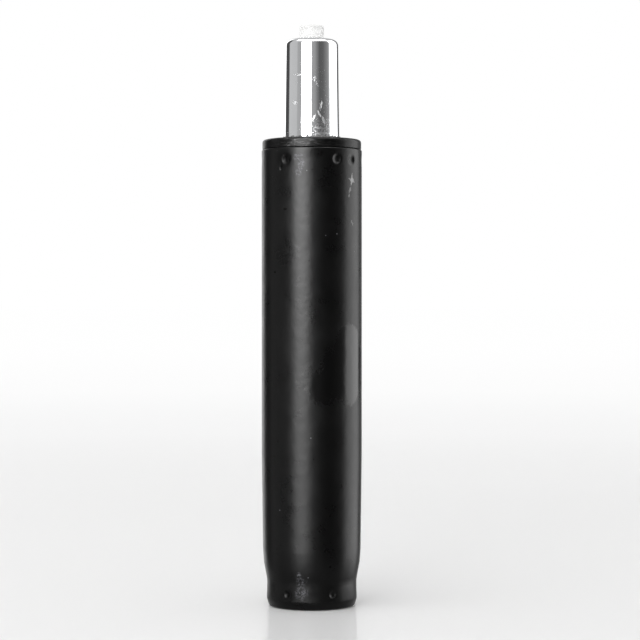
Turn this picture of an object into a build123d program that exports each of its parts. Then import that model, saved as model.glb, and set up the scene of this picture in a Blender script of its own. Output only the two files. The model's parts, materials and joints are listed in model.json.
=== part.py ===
# Gas lift cylinder of a swivel chair, standing on its foot at its lowest height.
#
# Every piece is turned about the Z axis. Z = 0 is the foot, up is +Z and the front is -Y.
# Lengths are in millimetres. An angle round the axis starts at the front, towards +X.
#
# A black steel column stands in the chair's base. The plastic guide bush in its top holds
# the chromed pressure tube, which carries the seat and rises by the stroke. The piston rod
# leaves the pressure tube at its lower end and stands on a ball thrust bearing on the
# column's base plug, so the seat also turns. The white button on top pushes the valve pin,
# which lets gas past the piston and so frees the lift.

import os
from math import cos, radians, sin, sqrt, tan

from build123d import *

# Whole lift
lift_stroke = 140.0
taper_angle = 1.4378  # whole angle of both chair tapers, 1 degree 26 minutes 16 seconds
exposed_length = 50.0  # pressure tube above the collar at the lowest height
fit_gap = 0.05  # round a piece that stays where it is seated
running_gap = 0.05  # round the rod, the pin and the bearing balls
slide_gap = 0.08  # round the pressure tube, the piston and the button
cut_overrun = 1.0

# Column: straight tube, base taper, necked foot with its edge turned in
column_diameter = 50.0
column_wall = 2.0
column_reserve = 87.0  # column length beyond the stroke
column_top_round = 0.7
base_taper_top = 75.0
neck_height = 11.5
neck_rise = 10.0  # height of the slope from the neck to the base taper
neck_step = 2.2  # how far the neck is drawn in
neck_round = 12.0
shoulder_round = 40.0  # where the slope meets the base taper
foot_flare = 0.35
foot_tuck = 1.1  # how far the edge is drawn in where it turns under
foot_tuck_height = 4.2
foot_tuck_round = 6.0
foot_edge_round = 1.0
foot_inner_round = 1.5
foot_opening_diameter = 31.0

# Punched dimples that hold the guide bush and the base plug
top_dimple_below_rim = 5.7
top_dimple_depth = 0.9
top_punch_radius = 4.2
top_dimple_count = 6
top_dimple_start_angle = -30.0
extra_dimple_angle = 52.0  # one more strike beside the second dimple
foot_dimple_height = 7.7
foot_dimple_depth = 0.6
foot_punch_radius = 3.2
foot_dimple_count = 6
foot_dimple_start_angle = -32.0
dimple_groove_gap = 0.4

# Guide bush
collar_height = 5.0
collar_setback = 0.35
collar_round = 1.5
collar_undercut = 0.4
bush_depth = 70.0  # length inside the column
bush_sleeve_wall = 4.0
bush_rib_sink = 0.5  # how far a rib reaches into the sleeve
bush_rib_setback = 0.3  # inside the lands
bush_top_land = 16.0
bush_land = 6.0
bush_rib_count = 12
bush_rib_width = 2.0
bush_lead_in = 1.0

# Base plug
plug_height = 10.0
plug_pocket_diameter = 25.0
plug_pocket_depth = 5.5
plug_edge = 0.6

# Thrust bearing
bearing_pitch_diameter = 19.0
ball_diameter = 4.0
ball_count = 10
raceway_depth = 0.8
race_thickness = 2.5
race_land = 2.0
race_seat_depth = 1.0
race_edge = 0.4
cage_thickness = 1.6
cage_land = 1.0

# Bumper under the pressure tube
bumper_washer_thickness = 1.5
bumper_height = 12.0
bumper_overhang = 1.2  # how far the washer stands out past the rubber
bumper_waist = 1.6
bumper_round = 1.2
bumper_top_gap = 0.3

# Piston rod and what holds its lower end
rod_diameter = 10.0
rod_shoulder = 1.0
rod_edge = 0.8
rod_tip_length = 2.0
rod_spigot_diameter = 8.0  # upper end, in the piston
clip_thickness = 1.2
clip_groove_depth = 0.9
clip_band = 2.2
clip_lug_width = 2.6
clip_lug_length = 1.6
clip_lug_count = 3
washer_thickness = 1.2
washer_overhang = 5.0
washer_play = 0.1

# Piston
piston_height = 12.0
piston_groove_depth = 1.8
piston_groove_width = 2.4
piston_edge = 0.8
piston_end_gap = 2.0  # above the flow ring when the lift is at its highest
piston_washer_thickness = 1.5
piston_washer_inset = 2.0
nut_height = 5.0
nut_across_flats = 12.0
nut_tip_length = 1.5

# Pressure tube and inner tube
cylinder_diameter = 28.0
cylinder_wall = 1.5
cylinder_foot_round = 2.5
cylinder_foot_opening_step = 2.5
cylinder_top_round = 3.0
cylinder_top_opening_diameter = 17.0
seat_taper_length = 62.0
bypass_gap = 1.5  # between the two tubes
inner_tube_wall = 1.0

# Seal pack at the pressure tube's lower end
rod_guide_height = 10.0
rod_guide_edge = 1.2
rod_seal_height = 7.0
rod_seal_lip = 1.5
rod_seal_relief = 0.7
rod_seal_flute_width = 2.0
rod_seal_flute_depth = 2.5
backup_ring_height = 2.0
flow_ring_flange = 4.0
flow_ring_spigot = 4.0
flow_ring_wall = 2.5
flow_slot_width = 3.0
flow_slot_depth = 1.8
flow_slot_count = 4

# Valve
retainer_height = 6.0
retainer_recess = 0.5  # below the rolled top edge
valve_seal_pocket = 7.5
valve_guide_length = 3.0
valve_port_chamber = 6.0
valve_seat_length = 5.0
valve_waist_step = 0.6
valve_port_diameter = 2.4
valve_port_count = 4
seal_section = 1.6  # diameter of the rubber rings' section
seal_groove_width = 2.2
seal_land = 1.5
pin_diameter = 5.0
pin_waist_step = 0.9
pin_head_step = 1.6
pin_head_height = 3.5
pin_edge = 0.5
port_chamber_step = 1.0

# Release button
button_diameter = 12.0
button_rise = 7.0
button_round = 0.9
button_flange_step = 1.7
button_flange_height = 2.5
button_socket_depth = 8.0
release_travel = 3.0


# Places and radii that follow from the sizes
half_taper = tan(radians(taper_angle / 2))
column_radius = column_diameter / 2
column_inner_radius = column_radius - column_wall
column_length = lift_stroke + column_reserve
neck_slope_top = neck_height + neck_rise
taper_small_radius = column_radius - (base_taper_top - neck_slope_top) * half_taper
neck_radius = taper_small_radius - neck_step
foot_radius = neck_radius + foot_flare

rod_radius = rod_diameter / 2
stub_radius = rod_radius - rod_shoulder
spigot_radius = rod_spigot_diameter / 2
ball_radius = ball_diameter / 2
pitch_radius = bearing_pitch_diameter / 2
race_radius = pitch_radius + ball_radius + race_land
raceway_radius = ball_radius + running_gap
raceway_offset = raceway_radius - raceway_depth

plug_bottom = column_wall
plug_top = plug_bottom + plug_height
plug_radius = neck_radius - column_wall - fit_gap
plug_web_bottom = plug_bottom + plug_pocket_depth
lower_race_bottom = plug_top - race_seat_depth
lower_race_top = lower_race_bottom + race_thickness
ball_height = lower_race_top + raceway_offset
upper_race_bottom = ball_height + raceway_offset
upper_race_top = upper_race_bottom + race_thickness
bumper_bottom = upper_race_top + bumper_washer_thickness
bumper_top = bumper_bottom + bumper_height
washer_top = plug_web_bottom - washer_play
clip_top = washer_top - washer_thickness
clip_bottom = clip_top - clip_thickness
clip_groove_radius = stub_radius - clip_groove_depth
rod_tip = clip_bottom - rod_tip_length

cylinder_radius = cylinder_diameter / 2
cylinder_inner_radius = cylinder_radius - cylinder_wall
cylinder_bottom = bumper_top + bumper_top_gap
cylinder_top = column_length + collar_height + exposed_length
seat_taper_bottom = cylinder_top - seat_taper_length
cylinder_tip_radius = cylinder_radius - seat_taper_length * half_taper
cylinder_tip_inner_radius = cylinder_tip_radius - cylinder_wall
inner_tube_radius = cylinder_inner_radius - bypass_gap
inner_tube_bore_radius = inner_tube_radius - inner_tube_wall
seal_pack_radius = cylinder_inner_radius - fit_gap

rod_guide_bottom = cylinder_bottom + cylinder_wall
rod_seal_bottom = rod_guide_bottom + rod_guide_height
backup_ring_bottom = rod_seal_bottom + rod_seal_height
flow_ring_bottom = backup_ring_bottom + backup_ring_height
inner_tube_bottom = flow_ring_bottom + flow_ring_flange
flow_ring_top = inner_tube_bottom + flow_ring_spigot

piston_radius = inner_tube_bore_radius - slide_gap
piston_washer_radius = piston_radius - piston_washer_inset
rod_piston_shoulder = flow_ring_top + piston_end_gap + lift_stroke
piston_bottom = rod_piston_shoulder + piston_washer_thickness
piston_top = piston_bottom + piston_height
nut_bottom = piston_top + piston_washer_thickness
rod_top = nut_bottom + nut_height + nut_tip_length

retainer_top = cylinder_top - retainer_recess
valve_top = cylinder_top - cylinder_wall - retainer_height
button_radius = button_diameter / 2
flange_radius = button_radius + button_flange_step
button_bottom = valve_top - fit_gap - button_flange_height
button_top = cylinder_top + button_rise
flange_room = button_flange_height + release_travel + seal_land
seal_pocket_top = valve_top - flange_room
seal_pocket_bottom = seal_pocket_top - valve_seal_pocket
port_chamber_top = seal_pocket_bottom - valve_guide_length
port_chamber_bottom = port_chamber_top - valve_port_chamber
valve_bottom = port_chamber_bottom - valve_seat_length
inner_tube_top = port_chamber_bottom
valve_radius = cylinder_tip_inner_radius - fit_gap
valve_spigot_radius = inner_tube_bore_radius - fit_gap
pin_radius = pin_diameter / 2
pin_bore_radius = pin_radius + running_gap
pin_waist_radius = pin_radius - pin_waist_step
pin_head_radius = pin_radius + pin_head_step
pin_top = button_bottom + button_socket_depth - fit_gap
seal_pocket_radius = pin_bore_radius + seal_section
stem_seal_pitch = seal_section + 2 * fit_gap


def turned(*corners):
    # Solid of revolution from an outline of (radius, height) or (radius, height, corner round).
    points = [(corner[0], 0, corner[1]) for corner in corners]
    rounds = [corner[2] if len(corner) > 2 else 0 for corner in corners]
    if any(rounds):
        outline = FilletPolyline(*points, radius=rounds, close=True)
    else:
        outline = Polyline(*points, close=True)
    return revolve(make_face(outline), Axis.Z)


def ring(inner_radius, outer_radius, bottom, top, edge=0):
    # Flat ring, with the same chamfer on its two outer edges.
    if edge == 0:
        inner, outer = inner_radius, outer_radius
        return turned((inner, bottom), (outer, bottom), (outer, top), (inner, top))
    return turned(
        (inner_radius, bottom),
        (outer_radius - edge, bottom),
        (outer_radius, bottom + edge),
        (outer_radius, top - edge),
        (outer_radius - edge, top),
        (inner_radius, top),
    )


def round_the_axis(count, start=0.0):
    # Angles of evenly spaced features.
    return [start + index * 360 / count for index in range(count)]


def at_angle(angle, radius, height):
    turn = radians(angle)
    return Pos(radius * sin(turn), -radius * cos(turn), height)


def radial_hole(angle, diameter, height):
    # Cylinder from the axis out past the column.
    hole = Rot(X=90) * Cylinder(diameter / 2, column_radius, align=(Align.CENTER, Align.CENTER, Align.MIN))
    return Pos(0, 0, height) * Rot(Z=angle) * hole


def rubber_ring(inner_radius, outer_radius, height):
    # Round-section ring that just clears the two walls that it lies between.
    section = (outer_radius - inner_radius) / 2 - fit_gap / 2
    return Pos(0, 0, height) * Torus((inner_radius + outer_radius) / 2, section)


def taper_inner_radius(height):
    # Inside of the pressure tube where its upper end tapers.
    return cylinder_inner_radius - (height - seat_taper_bottom) * half_taper


def bulge_reach(punch_radius, depth):
    # Half the width of a dimple's bulge on the column's inner wall.
    bulge_radius = punch_radius + column_wall
    return sqrt(2 * bulge_radius * depth - depth**2)


def foot_surface_radius(height):
    return foot_radius - foot_flare * height / neck_height


def punched(tube, surface_radius, height, angles, punch_radius, depth):
    # Strikes a round punch into the tube, which bulges inwards by as much.
    punch_distance = surface_radius + punch_radius - depth
    core_height = 2 * (punch_radius + column_wall)
    core = Pos(0, 0, height) * Cylinder(surface_radius - column_wall / 2, core_height)
    places = [at_angle(angle, punch_distance, height) for angle in angles]
    bulges = [(place * Sphere(punch_radius + column_wall)) & core for place in places]
    punches = [place * Sphere(punch_radius) for place in places]
    return tube + bulges - punches


def make_outer_tube():
    tube = turned(
        (foot_opening_diameter / 2, 0),
        (foot_radius - foot_tuck, 0, foot_edge_round),
        (foot_radius, foot_tuck_height, foot_tuck_round),
        (neck_radius, neck_height, neck_round),
        (taper_small_radius, neck_slope_top, shoulder_round),
        (column_radius, base_taper_top),
        (column_radius, column_length, column_top_round),
        (column_inner_radius, column_length),
        (column_inner_radius, base_taper_top),
        (taper_small_radius - column_wall, neck_slope_top, shoulder_round - column_wall),
        (neck_radius - column_wall, neck_height, neck_round + column_wall),
        (foot_radius - column_wall, column_wall, foot_inner_round),
        (foot_opening_diameter / 2, column_wall),
    )
    top_angles = round_the_axis(top_dimple_count, top_dimple_start_angle) + [extra_dimple_angle]
    top_height = column_length - top_dimple_below_rim
    tube = punched(tube, column_radius, top_height, top_angles, top_punch_radius, top_dimple_depth)
    foot_angles = round_the_axis(foot_dimple_count, foot_dimple_start_angle)
    surface = foot_surface_radius(foot_dimple_height)
    return punched(tube, surface, foot_dimple_height, foot_angles, foot_punch_radius, foot_dimple_depth)


def make_guide_bush():
    # Moulded bush: full-width lands at both ends and the middle, ribs on a thin sleeve between.
    bore = cylinder_radius + slide_gap
    sleeve = bore + bush_sleeve_wall
    land = column_inner_radius - fit_gap
    collar = column_radius - collar_setback
    top = column_length + collar_height
    bottom = column_length - bush_depth
    groove_half = bulge_reach(top_punch_radius, top_dimple_depth) + dimple_groove_gap
    groove_height = column_length - top_dimple_below_rim
    groove_floor = land - top_dimple_depth - dimple_groove_gap
    top_land_bottom = groove_height - groove_half - bush_land
    middle = (bottom + bush_land + top_land_bottom - bush_land) / 2
    bush = turned(
        (bore, bottom + bush_lead_in),
        (bore + bush_lead_in, bottom),
        (land - bush_lead_in, bottom),
        (land, bottom + bush_lead_in),
        (land, bottom + bush_land),
        (sleeve, bottom + bush_land),
        (sleeve, middle),
        (land, middle),
        (land, middle + bush_land),
        (sleeve, middle + bush_land),
        (sleeve, top_land_bottom),
        (land, top_land_bottom),
        (land, groove_height - groove_half),
        (groove_floor, groove_height - groove_half),
        (groove_floor, groove_height + groove_half),
        (land, groove_height + groove_half),
        (land, column_length),
        (collar - collar_undercut, column_length),
        (collar, column_length + collar_undercut),
        (collar, top, collar_round),
        (bore + bush_lead_in, top),
        (bore, top - bush_lead_in),
    )
    rib_bottom = bottom + bush_land
    envelope = ring(sleeve - bush_rib_sink, land - bush_rib_setback, rib_bottom, top_land_bottom)
    bar = Box(bush_rib_width, 2 * bush_sleeve_wall, top_land_bottom - rib_bottom)
    rib = (at_angle(0, land, (rib_bottom + top_land_bottom) / 2) * bar) & envelope
    return bush + [Rot(Z=angle) * rib for angle in round_the_axis(bush_rib_count)]


def make_base_plug():
    # Turned plug on the turned-in foot. The punched foot dimples stand in its groove.
    groove_half = bulge_reach(foot_punch_radius, foot_dimple_depth) + dimple_groove_gap
    groove_floor = plug_radius - foot_dimple_depth - dimple_groove_gap
    corner = foot_inner_round
    seat = race_radius + fit_gap
    pocket = plug_pocket_diameter / 2
    return turned(
        (stub_radius + running_gap, plug_web_bottom),
        (pocket, plug_web_bottom),
        (pocket, plug_bottom),
        (plug_radius - corner, plug_bottom),
        (plug_radius, plug_bottom + corner),
        (plug_radius, foot_dimple_height - groove_half),
        (groove_floor, foot_dimple_height - groove_half),
        (groove_floor, foot_dimple_height + groove_half),
        (plug_radius, foot_dimple_height + groove_half),
        (plug_radius, plug_top - plug_edge),
        (plug_radius - plug_edge, plug_top),
        (seat, plug_top),
        (seat, lower_race_bottom),
        (stub_radius + running_gap, lower_race_bottom),
    )


def make_race(bore, bottom):
    race = ring(bore, race_radius, bottom, bottom + race_thickness, race_edge)
    return race - Pos(0, 0, ball_height) * Torus(pitch_radius, raceway_radius)


def make_bearing_balls():
    places = [at_angle(angle, pitch_radius, ball_height) for angle in round_the_axis(ball_count)]
    return Compound(children=[place * Sphere(ball_radius) for place in places])


def make_ball_cage():
    inner = pitch_radius - ball_radius - cage_land
    outer = pitch_radius + ball_radius + cage_land
    cage = ring(inner, outer, ball_height - cage_thickness / 2, ball_height + cage_thickness / 2)
    pocket = Cylinder(ball_radius + running_gap, cage_thickness + 2 * cut_overrun)
    pockets = [at_angle(angle, pitch_radius, ball_height) * pocket for angle in round_the_axis(ball_count)]
    return cage - pockets


def make_bumper():
    # Rubber ring with a waist, so it gives when the seat drops on it.
    bore = rod_radius + slide_gap
    outer = race_radius - bumper_overhang
    middle = (bumper_bottom + bumper_top) / 2
    return turned(
        (bore, bumper_bottom),
        (outer, bumper_bottom, bumper_round),
        (outer - bumper_waist, middle, bumper_round),
        (outer, bumper_top, bumper_round),
        (bore, bumper_top),
    )


def make_rod_clip():
    # Spring steel clip pushed on from the side: a band with lugs that grip the rod's groove.
    lug_tip = clip_groove_radius + fit_gap
    band_inner = lug_tip + clip_lug_length
    band_outer = band_inner + clip_band
    clip = ring(band_inner, band_outer, clip_bottom, clip_top)
    height = (clip_bottom + clip_top) / 2
    reach = band_inner + clip_band / 2 - lug_tip
    envelope = ring(lug_tip, band_outer, clip_bottom, clip_top)
    for angle in round_the_axis(clip_lug_count, 180):
        lug = Rot(Z=angle) * Box(clip_lug_width, 2 * reach, clip_thickness)
        clip += (at_angle(angle, lug_tip + reach / 2, height) * lug) & envelope
    mouth = Box(2 * lug_tip, band_outer, clip_thickness + 2 * cut_overrun)
    return clip - at_angle(0, band_outer / 2 + lug_tip / 2, height) * mouth


def make_piston_rod():
    return turned(
        (0, rod_tip),
        (stub_radius - rod_edge, rod_tip),
        (stub_radius, rod_tip + rod_edge),
        (stub_radius, clip_bottom - fit_gap),
        (clip_groove_radius, clip_bottom - fit_gap),
        (clip_groove_radius, clip_top + fit_gap),
        (stub_radius, clip_top + fit_gap),
        (stub_radius, upper_race_top),
        (rod_radius, upper_race_top),
        (rod_radius, rod_piston_shoulder),
        (spigot_radius, rod_piston_shoulder),
        (spigot_radius, rod_top - rod_edge),
        (spigot_radius - rod_edge, rod_top),
        (0, rod_top),
    )


def make_piston():
    groove_bottom = (piston_bottom + piston_top - piston_groove_width) / 2
    groove_top = groove_bottom + piston_groove_width
    groove_floor = piston_radius - piston_groove_depth
    bore = spigot_radius + fit_gap
    return turned(
        (bore, piston_bottom),
        (piston_radius - piston_edge, piston_bottom),
        (piston_radius, piston_bottom + piston_edge),
        (piston_radius, groove_bottom),
        (groove_floor, groove_bottom),
        (groove_floor, groove_top),
        (piston_radius, groove_top),
        (piston_radius, piston_top - piston_edge),
        (piston_radius - piston_edge, piston_top),
        (bore, piston_top),
    )


def make_piston_seal():
    groove_floor = piston_radius - piston_groove_depth
    return rubber_ring(groove_floor, inner_tube_bore_radius, (piston_bottom + piston_top) / 2)


def make_piston_washers():
    bore = spigot_radius + fit_gap
    lower = ring(bore, piston_washer_radius, rod_piston_shoulder, piston_bottom)
    upper = ring(bore, piston_washer_radius, piston_top, nut_bottom)
    return Compound(children=[lower, upper])


def make_piston_nut():
    blank = extrude(RegularPolygon(nut_across_flats / 2, 6, major_radius=False), nut_height)
    bore = Cylinder(spigot_radius + fit_gap, 3 * nut_height)
    return Pos(0, 0, nut_bottom) * (blank - bore)


def make_pressure_tube():
    foot_opening = rod_radius + cylinder_foot_opening_step
    top_opening = cylinder_top_opening_diameter / 2
    return turned(
        (foot_opening, cylinder_bottom),
        (cylinder_radius, cylinder_bottom, cylinder_foot_round),
        (cylinder_radius, seat_taper_bottom),
        (cylinder_tip_radius, cylinder_top, cylinder_top_round),
        (top_opening, cylinder_top),
        (top_opening, cylinder_top - cylinder_wall),
        (cylinder_tip_inner_radius, cylinder_top - cylinder_wall, cylinder_top_round - cylinder_wall),
        (cylinder_inner_radius, seat_taper_bottom),
        (cylinder_inner_radius, cylinder_bottom + cylinder_wall, cylinder_foot_round - cylinder_wall),
        (foot_opening, cylinder_bottom + cylinder_wall),
    )


def make_inner_tube():
    return ring(inner_tube_bore_radius, inner_tube_radius, inner_tube_bottom, inner_tube_top)


def make_rod_guide():
    bore = rod_radius + running_gap
    return ring(bore, seal_pack_radius, rod_guide_bottom, rod_seal_bottom, rod_guide_edge)


def make_rod_seal():
    # Rubber lip seal: two lips on the rod, and a flute that gas pressure opens.
    lip = rod_radius + running_gap
    relief = lip + rod_seal_relief
    flute_inner = relief + rod_seal_lip
    flute_bottom = backup_ring_bottom - rod_seal_flute_depth
    return turned(
        (lip, rod_seal_bottom),
        (seal_pack_radius, rod_seal_bottom),
        (seal_pack_radius, backup_ring_bottom),
        (flute_inner + rod_seal_flute_width, backup_ring_bottom),
        (flute_inner + rod_seal_flute_width / 2, flute_bottom),
        (flute_inner, backup_ring_bottom),
        (lip, backup_ring_bottom),
        (lip, backup_ring_bottom - rod_seal_lip),
        (relief, backup_ring_bottom - 2 * rod_seal_lip),
        (relief, rod_seal_bottom + 2 * rod_seal_lip),
        (lip, rod_seal_bottom + rod_seal_lip),
    )


def make_flow_ring():
    # Carries the inner tube, with slots that lead gas from it to the gap round it.
    spigot = inner_tube_bore_radius - fit_gap
    bore = spigot - flow_ring_wall
    body = turned(
        (bore, flow_ring_bottom),
        (seal_pack_radius, flow_ring_bottom),
        (seal_pack_radius, inner_tube_bottom),
        (spigot, inner_tube_bottom),
        (spigot, flow_ring_top),
        (bore, flow_ring_top),
    )
    slot_bottom = inner_tube_bottom - flow_slot_depth
    slot_height = flow_ring_top - slot_bottom + cut_overrun
    slot = Box(flow_slot_width, 2 * seal_pack_radius, slot_height)
    slot = at_angle(0, seal_pack_radius, slot_bottom + slot_height / 2) * slot
    return body - [Rot(Z=angle) * slot for angle in round_the_axis(flow_slot_count)]


def make_valve_body():
    # Stepped plug in the tapered end: room for the button's flange, the pin's seals, a port
    # chamber that leads out to the gap between the tubes, and a seat for the pin's head.
    seat_recess = pin_bore_radius + pin_head_step
    waist = inner_tube_radius - valve_waist_step
    groove_floor = valve_radius - seal_section
    groove_bottom = seal_pocket_bottom
    groove_top = groove_bottom + seal_groove_width
    spigot_floor = valve_spigot_radius - seal_section
    spigot_groove_bottom = valve_bottom + seal_land
    spigot_groove_top = spigot_groove_bottom + seal_groove_width
    chamber = pin_bore_radius + port_chamber_step
    body = turned(
        (pin_bore_radius, valve_bottom + seal_section),
        (seat_recess, valve_bottom + seal_section),
        (seat_recess, valve_bottom),
        (valve_spigot_radius, valve_bottom),
        (valve_spigot_radius, spigot_groove_bottom),
        (spigot_floor, spigot_groove_bottom),
        (spigot_floor, spigot_groove_top),
        (valve_spigot_radius, spigot_groove_top),
        (valve_spigot_radius, inner_tube_top),
        (waist, inner_tube_top),
        (waist, port_chamber_top),
        (valve_radius, port_chamber_top),
        (valve_radius, groove_bottom),
        (groove_floor, groove_bottom),
        (groove_floor, groove_top),
        (valve_radius, groove_top),
        (valve_radius, valve_top),
        (flange_radius + slide_gap, valve_top),
        (flange_radius + slide_gap, seal_pocket_top),
        (seal_pocket_radius, seal_pocket_top),
        (seal_pocket_radius, seal_pocket_bottom),
        (pin_bore_radius, seal_pocket_bottom),
        (pin_bore_radius, port_chamber_top),
        (chamber, port_chamber_top),
        (chamber, port_chamber_bottom),
        (pin_bore_radius, port_chamber_bottom),
    )
    port_height = (port_chamber_top + port_chamber_bottom) / 2
    angles = round_the_axis(valve_port_count)
    return body - [radial_hole(angle, valve_port_diameter, port_height) for angle in angles]


def make_valve_body_seals():
    # One ring seals the pressure tube's taper, the other the inner tube.
    upper_height = seal_pocket_bottom + seal_groove_width / 2
    upper = rubber_ring(valve_radius - seal_section, taper_inner_radius(upper_height), upper_height)
    lower_height = valve_bottom + seal_land + seal_groove_width / 2
    lower = rubber_ring(valve_spigot_radius - seal_section, inner_tube_bore_radius, lower_height)
    return Compound(children=[upper, lower])


def make_stem_seals():
    # Two rings round the pin, and one under the valve body that its head closes on.
    lower = rubber_ring(pin_radius, seal_pocket_radius, seal_pocket_bottom + stem_seal_pitch / 2)
    upper = rubber_ring(pin_radius, seal_pocket_radius, seal_pocket_bottom + 3 * stem_seal_pitch / 2)
    head_seal = rubber_ring(pin_radius, pin_head_radius, valve_bottom + seal_section / 2)
    return Compound(children=[lower, upper, head_seal])


def make_stem_bush():
    bottom = seal_pocket_bottom + 2 * stem_seal_pitch
    return ring(pin_bore_radius, seal_pocket_radius - fit_gap, bottom, seal_pocket_top)


def make_valve_pin():
    head_top = valve_bottom
    head_bottom = head_top - pin_head_height
    return turned(
        (0, head_bottom),
        (pin_head_radius - pin_edge, head_bottom),
        (pin_head_radius, head_bottom + pin_edge),
        (pin_head_radius, head_top - pin_edge),
        (pin_head_radius - pin_edge, head_top),
        (pin_waist_radius, head_top),
        (pin_waist_radius, port_chamber_top - pin_edge),
        (pin_radius, port_chamber_top),
        (pin_radius, pin_top - pin_edge),
        (pin_radius - pin_edge, pin_top),
        (0, pin_top),
    )


def make_valve_retainer():
    # Plastic insert under the rolled edge. The button slides in it.
    corner = cylinder_top_round - cylinder_wall
    outer = cylinder_tip_inner_radius - fit_gap
    spigot = cylinder_top_opening_diameter / 2 - fit_gap
    shoulder = cylinder_top - cylinder_wall
    return turned(
        (button_radius + slide_gap, valve_top),
        (outer, valve_top),
        (outer, shoulder - corner),
        (outer - corner, shoulder),
        (spigot, shoulder),
        (spigot, retainer_top),
        (button_radius + slide_gap, retainer_top),
    )


def make_release_button():
    socket = pin_radius + fit_gap
    return turned(
        (socket, button_bottom),
        (flange_radius, button_bottom),
        (flange_radius, button_bottom + button_flange_height),
        (button_radius, button_bottom + button_flange_height),
        (button_radius, button_top, button_round),
        (0, button_top),
        (0, button_bottom + button_socket_depth),
        (socket, button_bottom + button_socket_depth),
    )


pieces = {
    # Stays with the chair's base
    "outer_tube": make_outer_tube(),
    "guide_bush": make_guide_bush(),
    "base_plug": make_base_plug(),
    "lower_race": make_race(stub_radius + running_gap, lower_race_bottom),
    # Rolls between the races
    "ball_cage": make_ball_cage(),
    "bearing_balls": make_bearing_balls(),
    # Turns with the seat
    "upper_race": make_race(stub_radius + fit_gap, upper_race_bottom),
    "bumper_washer": ring(rod_radius + fit_gap, race_radius, upper_race_top, bumper_bottom),
    "bumper": make_bumper(),
    "piston_rod": make_piston_rod(),
    "rod_washer": ring(stub_radius + fit_gap, stub_radius + washer_overhang, clip_top, washer_top),
    "rod_clip": make_rod_clip(),
    "piston": make_piston(),
    "piston_seal": make_piston_seal(),
    "piston_washers": make_piston_washers(),
    "piston_nut": make_piston_nut(),
    # Turns and rises with the seat
    "pressure_tube": make_pressure_tube(),
    "inner_tube": make_inner_tube(),
    "rod_guide": make_rod_guide(),
    "rod_seal": make_rod_seal(),
    "backup_ring": ring(rod_radius + slide_gap, seal_pack_radius, backup_ring_bottom, flow_ring_bottom),
    "flow_ring": make_flow_ring(),
    "valve_body": make_valve_body(),
    "valve_body_seals": make_valve_body_seals(),
    "stem_seals": make_stem_seals(),
    "stem_bush": make_stem_bush(),
    "valve_retainer": make_valve_retainer(),
    # Pressed to free the lift
    "valve_pin": make_valve_pin(),
    "release_button": make_release_button(),
}

os.makedirs("parts", exist_ok=True)
for node, piece in pieces.items():
    export_step(piece, f"parts/{node}.step")
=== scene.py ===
import json
from math import ceil, cos, pi, radians, sin, tan

import bmesh
import bpy
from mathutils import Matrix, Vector


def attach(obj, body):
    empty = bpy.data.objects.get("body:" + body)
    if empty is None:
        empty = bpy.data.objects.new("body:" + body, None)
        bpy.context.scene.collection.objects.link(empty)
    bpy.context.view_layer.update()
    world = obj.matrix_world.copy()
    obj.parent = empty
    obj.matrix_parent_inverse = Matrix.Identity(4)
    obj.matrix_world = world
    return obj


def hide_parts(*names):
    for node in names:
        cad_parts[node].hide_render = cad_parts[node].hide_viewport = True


# Looks of a chair's gas lift cylinder. Lengths in the settings of pieces and finishes are millimetres, and
# those of the camera and the studio are metres. Angles are degrees round the Z axis from the front (-Y)
# towards +X.

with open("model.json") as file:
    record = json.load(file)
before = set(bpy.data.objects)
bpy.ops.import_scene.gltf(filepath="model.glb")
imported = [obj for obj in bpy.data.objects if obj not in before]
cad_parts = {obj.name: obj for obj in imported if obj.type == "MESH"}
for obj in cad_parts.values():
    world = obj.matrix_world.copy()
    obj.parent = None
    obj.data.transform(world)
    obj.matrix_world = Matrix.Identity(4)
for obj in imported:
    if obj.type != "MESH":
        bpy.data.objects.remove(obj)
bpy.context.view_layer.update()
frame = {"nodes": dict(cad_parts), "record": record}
scene = bpy.context.scene
mm = 0.001


def toLinear(hexColour):
    # sRGB hex to the linear colour that shaders take
    parts = [int(hexColour[place:place + 2], 16) / 255 for place in (1, 3, 5)]
    return [part / 12.92 if part <= 0.04045 else ((part + 0.055) / 1.055) ** 2.4 for part in parts] + [1]


def perMetre(size):
    # noise scale for features of a size in millimetres
    return 1 / (size * mm)


def addNode(tree, kind, links=None, **settings):
    # links: input name or number to a value, a socket, or a node whose first output is taken
    node = tree.nodes.new(kind)
    for name, value in settings.items():
        setattr(node, name, value)
    for key, value in (links or {}).items():
        if isinstance(value, bpy.types.Node):
            value = value.outputs[0]
        if isinstance(value, bpy.types.NodeSocket):
            tree.links.new(value, node.inputs[key])
        else:
            node.inputs[key].default_value = value
    return node


def setRamp(node, stops, interpolation="LINEAR"):
    # stops: (place 0..1, grey level) pairs, in order
    ramp = node.color_ramp
    ramp.interpolation = interpolation
    while len(ramp.elements) < len(stops):
        ramp.elements.new(1)
    for element, (place, level) in zip(ramp.elements, stops):
        element.position = place
        element.color = (level, level, level, 1)
    return node


# Camera, at the photograph's angle: nearly level, a little above half the height

cameraSettings = {
    "place": (0.0041, -1.025, 0.15285), "target": (0.0041, 0, 0.14225), "lens": 115.4, "sensor": 36, "nearest": 0.01,
}


def makeCamera(settings):
    data = bpy.data.cameras.new("camera")
    data.lens = settings["lens"]
    data.sensor_width = settings["sensor"]
    data.clip_start = settings["nearest"]
    camera = bpy.data.objects.new("camera", data)
    camera.location = settings["place"]
    look = Vector(settings["target"]) - Vector(settings["place"])
    camera.rotation_euler = look.to_track_quat("-Z", "Y").to_euler()
    scene.collection.objects.link(camera)
    scene.camera = camera


makeCamera(cameraSettings)
print("camera made")

# Studio: white all round for the camera, an even fill for matt surfaces, and panels and dark flags for gloss

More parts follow.
